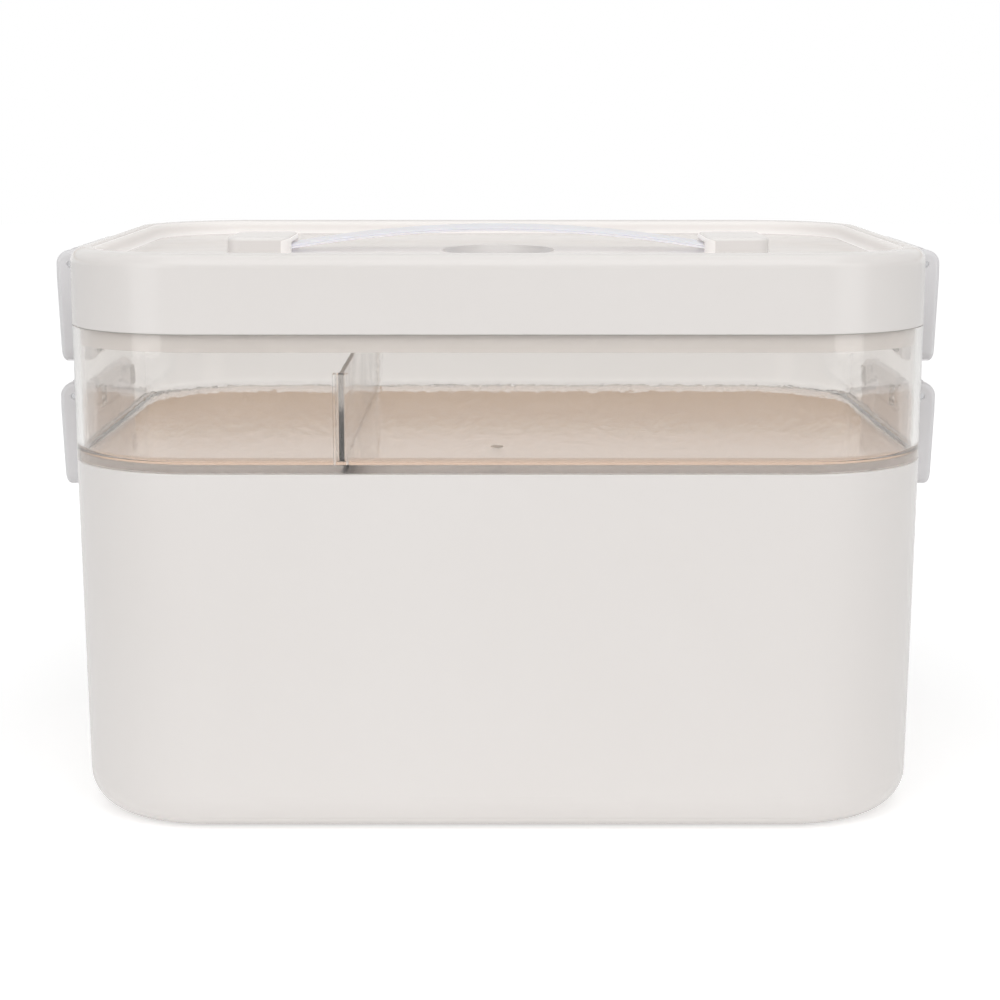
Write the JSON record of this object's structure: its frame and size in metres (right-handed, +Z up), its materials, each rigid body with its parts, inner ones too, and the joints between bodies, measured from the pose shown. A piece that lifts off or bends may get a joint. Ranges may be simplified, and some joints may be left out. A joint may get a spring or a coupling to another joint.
{
  "type": "first aid box",
  "caption": "Two-tier plastic first aid box with a deep base, a clear nesting tray with a divider, a lid with a strap handle and side latches.",
  "frame": {"origin": "middle of the underside of the base", "axes": "+X to the right seen from the front, +Y to the back, +Z up; the front faces -Y"},
  "size_m": [0.3274, 0.235, 0.2086],
  "materials": {
    "white_shell": "glossy moulded off-white",
    "clear_tray": "clear, polished",
    "strap": "satin, cool white",
    "seal": "soft matte silicone",
    "steel": "drawn wire"
  },
  "bodies": {
    "base": {"base_box": "white_shell"},
    "tray": {"tray": "clear_tray"},
    "divider": {"tray_divider": "clear_tray"},
    "lid": {"lid": "white_shell", "lid_seal": "seal", "handle_block_right": "white_shell", "handle_block_left": "white_shell", "handle_screws": "steel"},
    "grip": {"handle_grip": "strap"},
    "upper_latch_right": {"upper_latch_right": "white_shell", "upper_pin_right": "steel"},
    "lower_latch_right": {"lower_latch_right": "white_shell", "lower_pin_right": "steel"},
    "arm_right": {"handle_arm_right": "strap"},
    "tongue_right": {"handle_tongue_right": "strap"},
    "upper_latch_left": {"upper_latch_left": "white_shell", "upper_pin_left": "steel"},
    "lower_latch_left": {"lower_latch_left": "white_shell", "lower_pin_left": "steel"},
    "arm_left": {"handle_arm_left": "strap"},
    "tongue_left": {"handle_tongue_left": "strap"}
  },
  "joints": [
    {"name": "tray_lift", "type": "slide", "parent": "base", "child": "tray", "axis": [0, 0, 1], "range_m": [0, 0.035]},
    {"name": "lid_lift", "type": "slide", "parent": "tray", "child": "lid", "axis": [0, 0, 1], "range_m": [0, 0.05]},
    {"name": "divider_lift", "type": "slide", "parent": "tray", "child": "divider", "axis": [0, 0, 1], "range_m": [0, 0.03]},
    {"name": "handle_lift", "type": "slide", "parent": "lid", "child": "grip", "axis": [0, 0, 1], "range_m": [0, 0.024]},
    {"name": "upper_latch_open_right", "type": "hinge", "parent": "lid", "child": "upper_latch_right", "pos_m": [0.15855, 0, 0.1966], "axis": [0, -1, 0], "range_deg": [0, 110]},
    {"name": "lower_latch_open_right", "type": "hinge", "parent": "tray", "child": "lower_latch_right", "pos_m": [0.15855, 0, 0.1473], "axis": [0, -1, 0], "range_deg": [0, 90]},
    {"name": "handle_arm_bend_right", "type": "hinge", "parent": "grip", "child": "arm_right", "pos_m": [0.03, 0, 0.20614], "axis": [0, 1, 0], "range_deg": [0, 28.19]},
    {"name": "handle_tongue_bend_right", "type": "hinge", "parent": "arm_right", "child": "tongue_right", "pos_m": [0.082, 0, 0.2014], "axis": [0, -1, 0], "range_deg": [0, 28.19]},
    {"name": "upper_latch_open_left", "type": "hinge", "parent": "lid", "child": "upper_latch_left", "pos_m": [-0.15855, 0, 0.1966], "axis": [0, 1, 0], "range_deg": [0, 110]},
    {"name": "lower_latch_open_left", "type": "hinge", "parent": "tray", "child": "lower_latch_left", "pos_m": [-0.15855, 0, 0.1473], "axis": [0, 1, 0], "range_deg": [0, 90]},
    {"name": "handle_arm_bend_left", "type": "hinge", "parent": "grip", "child": "arm_left", "pos_m": [-0.03, 0, 0.20614], "axis": [0, -1, 0], "range_deg": [0, 28.19]},
    {"name": "handle_tongue_bend_left", "type": "hinge", "parent": "arm_left", "child": "tongue_left", "pos_m": [-0.082, 0, 0.2014], "axis": [0, 1, 0], "range_deg": [0, 28.19]}
  ],
  "couplings": [
    {"joint": "handle_arm_bend_right", "follows": "handle_lift", "rad_per_m": 20.498},
    {"joint": "handle_tongue_bend_right", "follows": "handle_lift", "rad_per_m": 20.498},
    {"joint": "handle_arm_bend_left", "follows": "handle_lift", "rad_per_m": 20.498},
    {"joint": "handle_tongue_bend_left", "follows": "handle_lift", "rad_per_m": 20.498}
  ]
}
